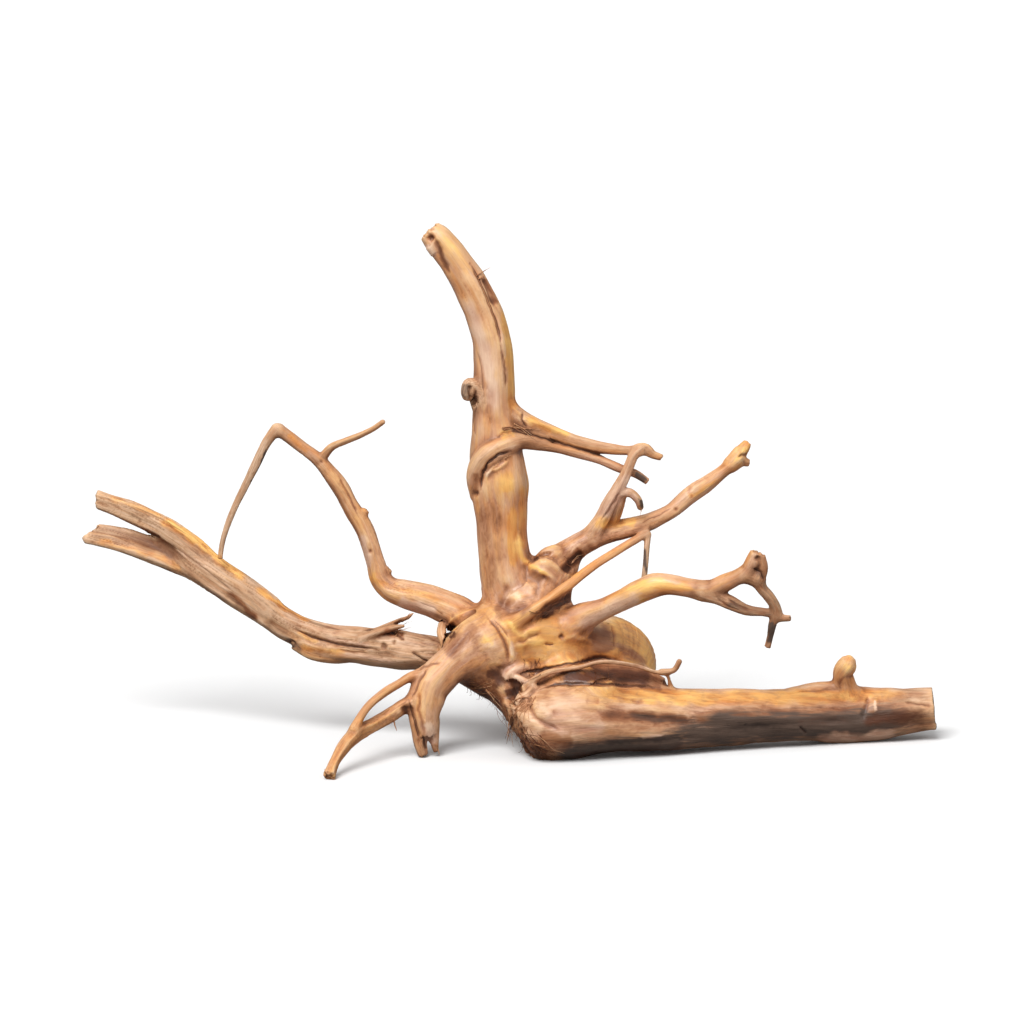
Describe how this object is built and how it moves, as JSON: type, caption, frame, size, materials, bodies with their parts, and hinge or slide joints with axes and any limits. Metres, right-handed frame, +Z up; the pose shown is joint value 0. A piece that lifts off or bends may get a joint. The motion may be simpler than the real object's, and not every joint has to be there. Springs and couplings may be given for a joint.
{
  "type": "bogwood root",
  "caption": "Dug-out bogwood root crown with a thick sawn log lying along the ground, an upright trunk, a split bough and crooked branching roots.",
  "frame": {"origin": "middle of the base: the centre of the bounding box's underside, on the ground", "axes": "+Z up, +X along the lying log towards its sawn end, -Y towards the side that the front leg reaches out to"},
  "size_m": [0.8525, 0.2843, 0.5231],
  "materials": {
    "bogwood": "bare washed root wood, streaked tan and orange, dark in the cracks, satin where worn smooth"
  },
  "bodies": {
    "root": {"bogwood_root": "bogwood"}
  },
  "joints": []
}
